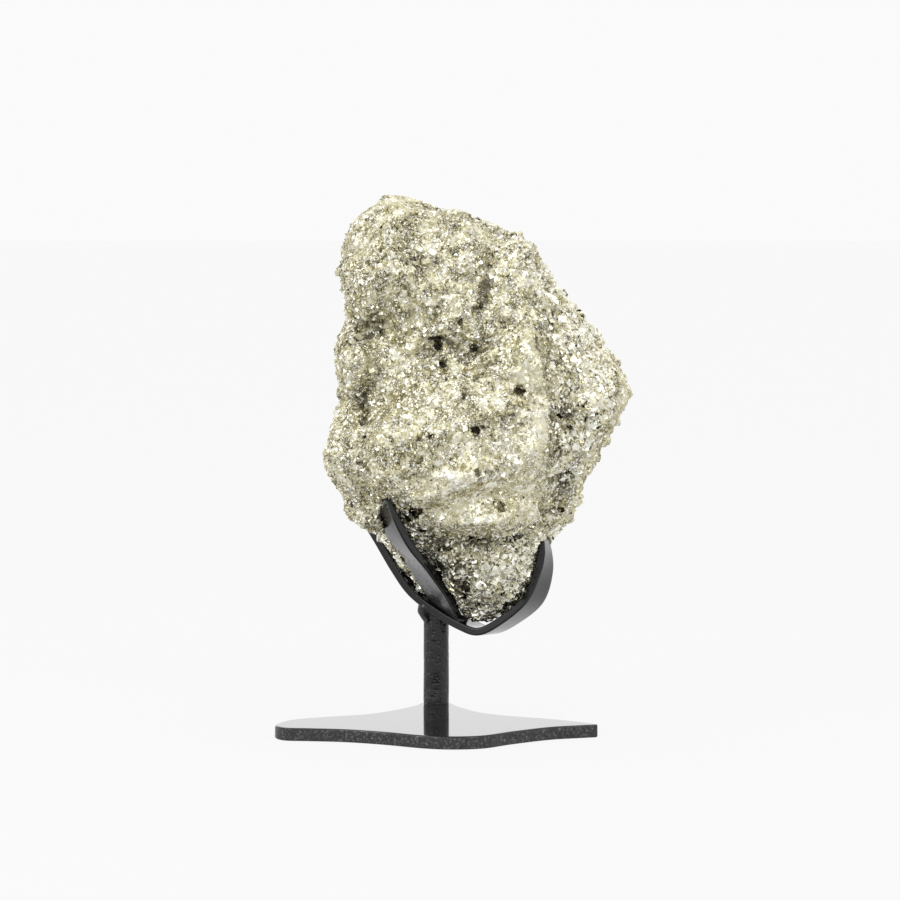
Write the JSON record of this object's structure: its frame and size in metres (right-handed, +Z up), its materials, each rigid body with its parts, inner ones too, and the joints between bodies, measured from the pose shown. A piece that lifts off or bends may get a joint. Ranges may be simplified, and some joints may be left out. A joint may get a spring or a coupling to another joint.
{
  "type": "pyrite specimen on a stand",
  "caption": "Rough lumpy mass of small grown-together pyrite crystals, held up in a bent steel cradle on a short round post and a flat wavy base plate.",
  "frame": {"origin": "middle of the underside of the base plate", "axes": "+Z up, -Y towards the front, from which the specimen is shown, +X to its right"},
  "size_m": [0.1104, 0.0835, 0.1654],
  "materials": {
    "pyrite_crystal": "rough crust of bright metallic pale brass crystal faces with dark olive gaps",
    "gloss_black_paint": "gloss black paint over welded steel, with small pits and drips"
  },
  "bodies": {
    "root": {"pyrite": "pyrite_crystal", "cradle_band": "gloss_black_paint", "front_prong": "gloss_black_paint", "post": "gloss_black_paint", "base_plate": "gloss_black_paint"}
  },
  "joints": []
}
